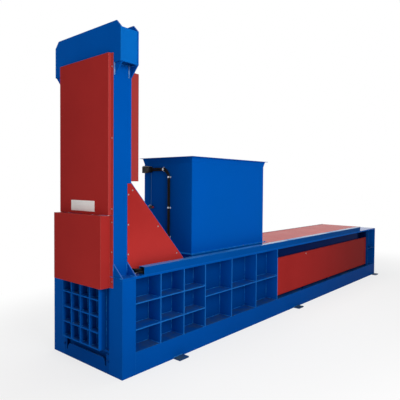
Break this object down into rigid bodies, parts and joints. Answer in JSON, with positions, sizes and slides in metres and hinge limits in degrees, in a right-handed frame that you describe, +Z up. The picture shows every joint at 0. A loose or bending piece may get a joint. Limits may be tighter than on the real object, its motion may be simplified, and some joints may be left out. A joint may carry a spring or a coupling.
{
  "type": "recycling baler",
  "caption": "Long horizontal press for recyclables with a cellular lift gate on a tower, a feed hopper over the chamber, and red covers over a rear ram cylinder.",
  "frame": {"origin": "on the ground, under the middle of the whole machine", "axes": "+X along the body from the gate to the power end, +Y to the side without the cable duct, +Z up"},
  "size_m": [8.882, 1.754, 4.358],
  "materials": {
    "blue_enamel": "gloss",
    "red_enamel": "gloss",
    "cylinder_paint": "satin",
    "bare_steel": "ground",
    "hard_chrome": "polished",
    "black_plastic": "satin"
  },
  "bodies": {
    "frame": {"access_cover": "blue_enamel", "anchor_plates": "blue_enamel", "chamber_floor": "blue_enamel", "conduit_clips": "bare_steel", "cover_screws": "bare_steel", "crossbeam": "blue_enamel", "cylinder_covers": "red_enamel", "cylinder_saddle": "cylinder_paint", "deck_cross_plates": "blue_enamel", "deck_front": "blue_enamel", "deck_strips": "blue_enamel", "duct_hoses": "black_plastic", "far_base_beam": "blue_enamel", "far_brace": "blue_enamel", "far_column": "blue_enamel", "far_post": "blue_enamel", "far_press_wall": "blue_enamel", "far_rear_wall": "blue_enamel", "far_side_guard": "red_enamel", "far_side_panel": "red_enamel", "feed_throat": "blue_enamel", "fill_sensors": "black_plastic", "fixed_knife": "bare_steel", "floor_crossmembers": "blue_enamel", "front_cover_lower": "red_enamel", "front_cover_upper": "red_enamel", "front_lintel": "blue_enamel", "front_sill": "blue_enamel", "gate_barrel": "cylinder_paint", "gate_gland": "bare_steel", "gate_guides": "bare_steel", "hanger_pin": "bare_steel", "hopper": "blue_enamel", "main_barrel": "cylinder_paint", "main_gland": "bare_steel", "near_base_beam": "blue_enamel", "near_brace": "blue_enamel", "near_column": "blue_enamel", "near_post": "blue_enamel", "near_press_wall": "blue_enamel", "near_rear_wall": "blue_enamel", "near_side_guard": "red_enamel", "near_side_panel": "red_enamel", "rear_cover": "red_enamel", "rear_plate": "blue_enamel", "sensor_conduit": "black_plastic", "side_duct": "blue_enamel", "thrust_crosshead": "cylinder_paint", "wear_strips": "bare_steel"},
    "gate": {"gate": "blue_enamel", "gate_lug": "blue_enamel", "gate_pin": "bare_steel", "gate_rod": "hard_chrome", "gate_piston": "bare_steel"},
    "ram": {"ram": "blue_enamel", "ram_shoes": "bare_steel", "ram_knife": "bare_steel", "main_rod": "hard_chrome", "main_piston": "bare_steel"}
  },
  "joints": [
    {"name": "gate_lift", "type": "slide", "parent": "frame", "child": "gate", "axis": [0, 0, 1], "range_m": [0, 0.84]},
    {"name": "ram_stroke", "type": "slide", "parent": "frame", "child": "ram", "axis": [-1, 0, 0], "range_m": [0, 2.7]}
  ]
}
